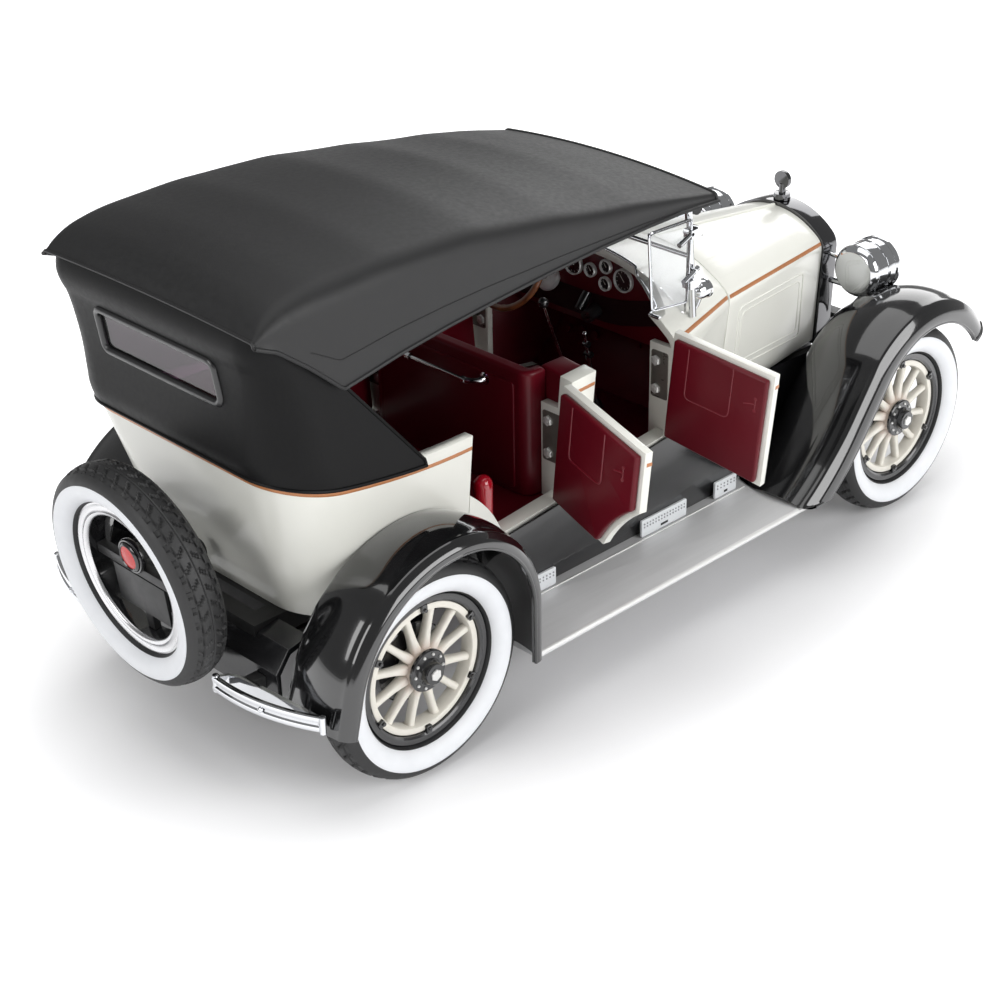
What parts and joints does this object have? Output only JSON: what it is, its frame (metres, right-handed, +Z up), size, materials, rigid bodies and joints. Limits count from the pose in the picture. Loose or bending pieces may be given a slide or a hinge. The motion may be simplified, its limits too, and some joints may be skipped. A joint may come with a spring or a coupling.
{
  "type": "model touring car",
  "caption": "Display model of an open touring car with a fixed top, hinged doors, steered front wheels, spoked wheels and a spare at the back.",
  "frame": {"origin": "on the ground plane, midway between the axles, on the centre plane", "axes": "+X forward, +Y to the car's left, +Z up"},
  "size_m": [0.235, 0.1133, 0.114],
  "materials": {
    "tyre_rubber": "matte",
    "white_rubber": "matte",
    "cream_spokes": "satin",
    "black_wheel": "gloss",
    "ivory_paint": "gloss",
    "maroon_trim": "satin",
    "black_paint": "gloss",
    "top_plastic": "matte",
    "chrome": "polished",
    "silver_board": "brushed",
    "silver_rim": "satin",
    "clear_pane": "clear",
    "red_lens": "gloss",
    "core_black": "matte",
    "chassis_black": "satin"
  },
  "bodies": {
    "car": {"body_tub": "ivory_paint", "cowl": "ivory_paint", "dashboard": "maroon_trim", "engine_block": "chassis_black", "fittings": "chrome", "floor": "maroon_trim", "frame": "chassis_black", "front_axle": "chassis_black", "front_fenders": "black_paint", "front_seat": "maroon_trim", "glass": "clear_pane", "hood": "ivory_paint", "lamps": "chrome", "radiator_core": "core_black", "radiator_shell": "chrome", "rear_axle": "chassis_black", "rear_bumpers": "chrome", "rear_curtain": "top_plastic", "rear_fenders": "black_paint", "rear_seat": "maroon_trim", "roof": "top_plastic", "running_boards": "silver_board", "side_frames": "ivory_paint", "spare_carrier": "chassis_black", "spare_rim": "silver_rim", "spare_tyre": "tyre_rubber", "spare_whitewall": "white_rubber", "splash_panels": "black_paint", "springs": "chassis_black", "steering_wheel": "chrome", "tail_lens": "red_lens", "windshield_frame": "chrome"},
    "wheel_front_right": {"wheel_front_right_rim_hub": "black_wheel", "wheel_front_right_spokes": "cream_spokes", "wheel_front_right_tyre": "tyre_rubber", "wheel_front_right_whitewall": "white_rubber"},
    "door_front_right": {"door_front_right_skin": "ivory_paint", "door_front_right_trim": "maroon_trim"},
    "wheel_rear_right": {"wheel_rear_right_rim_hub": "black_wheel", "wheel_rear_right_spokes": "cream_spokes", "wheel_rear_right_tyre": "tyre_rubber", "wheel_rear_right_whitewall": "white_rubber"},
    "door_rear_right": {"door_rear_right_skin": "ivory_paint", "door_rear_right_trim": "maroon_trim"},
    "knuckle_right": {"knuckle_right": "chassis_black"},
    "wheel_front_left": {"wheel_front_left_rim_hub": "black_wheel", "wheel_front_left_spokes": "cream_spokes", "wheel_front_left_tyre": "tyre_rubber", "wheel_front_left_whitewall": "white_rubber"},
    "door_front_left": {"door_front_left_skin": "ivory_paint", "door_front_left_trim": "maroon_trim"},
    "wheel_rear_left": {"wheel_rear_left_rim_hub": "black_wheel", "wheel_rear_left_spokes": "cream_spokes", "wheel_rear_left_tyre": "tyre_rubber", "wheel_rear_left_whitewall": "white_rubber"},
    "door_rear_left": {"door_rear_left_skin": "ivory_paint", "door_rear_left_trim": "maroon_trim"},
    "knuckle_left": {"knuckle_left": "chassis_black"},
    "tie_rod": {"tie_rod": "chassis_black"}
  },
  "joints": [
    {"name": "steer_right", "type": "hinge", "parent": "car", "child": "knuckle_right", "pos_m": [0.08115, -0.0313, 0.0247], "axis": [0, 0, 1], "range_deg": [-15, 15]},
    {"name": "steer_left", "type": "hinge", "parent": "car", "child": "knuckle_left", "pos_m": [0.08115, 0.0313, 0.0247], "axis": [0, 0, 1], "range_deg": [-15, 15]},
    {"name": "tie_rod_swing", "type": "hinge", "parent": "knuckle_right", "child": "tie_rod", "pos_m": [0.06715, -0.0313, 0.0197], "axis": [0, 0, 1], "range_deg": [-15, 15]},
    {"name": "spin_front_right", "type": "hinge", "parent": "knuckle_right", "child": "wheel_front_right", "pos_m": [0.08115, -0.041, 0.0247], "axis": [0, 1, 0], "continuous": true},
    {"name": "spin_rear_right", "type": "hinge", "parent": "car", "child": "wheel_rear_right", "pos_m": [-0.08115, -0.041, 0.0247], "axis": [0, 1, 0], "continuous": true},
    {"name": "door_front_right_hinge", "type": "hinge", "parent": "car", "child": "door_front_right", "pos_m": [0.0042, -0.0325, 0.04], "axis": [0, -0.1002, 0.995], "range_deg": [-98, 0]},
    {"name": "door_rear_right_hinge", "type": "hinge", "parent": "car", "child": "door_rear_right", "pos_m": [-0.0302, -0.0325, 0.04], "axis": [0, -0.1002, 0.995], "range_deg": [-80.5, 0]},
    {"name": "spin_front_left", "type": "hinge", "parent": "knuckle_left", "child": "wheel_front_left", "pos_m": [0.08115, 0.041, 0.0247], "axis": [0, 1, 0], "continuous": true},
    {"name": "spin_rear_left", "type": "hinge", "parent": "car", "child": "wheel_rear_left", "pos_m": [-0.08115, 0.041, 0.0247], "axis": [0, 1, 0], "continuous": true},
    {"name": "door_front_left_hinge", "type": "hinge", "parent": "car", "child": "door_front_left", "pos_m": [0.0042, 0.0325, 0.04], "axis": [0, 0.1002, 0.995], "range_deg": [-98, 0]},
    {"name": "door_rear_left_hinge", "type": "hinge", "parent": "car", "child": "door_rear_left", "pos_m": [-0.0302, 0.0325, 0.04], "axis": [0, 0.1002, 0.995], "range_deg": [-80.5, 0]}
  ],
  "couplings": [
    {"joint": "steer_left", "follows": "steer_right", "ratio": 1},
    {"joint": "tie_rod_swing", "follows": "steer_right", "ratio": -1}
  ]
}
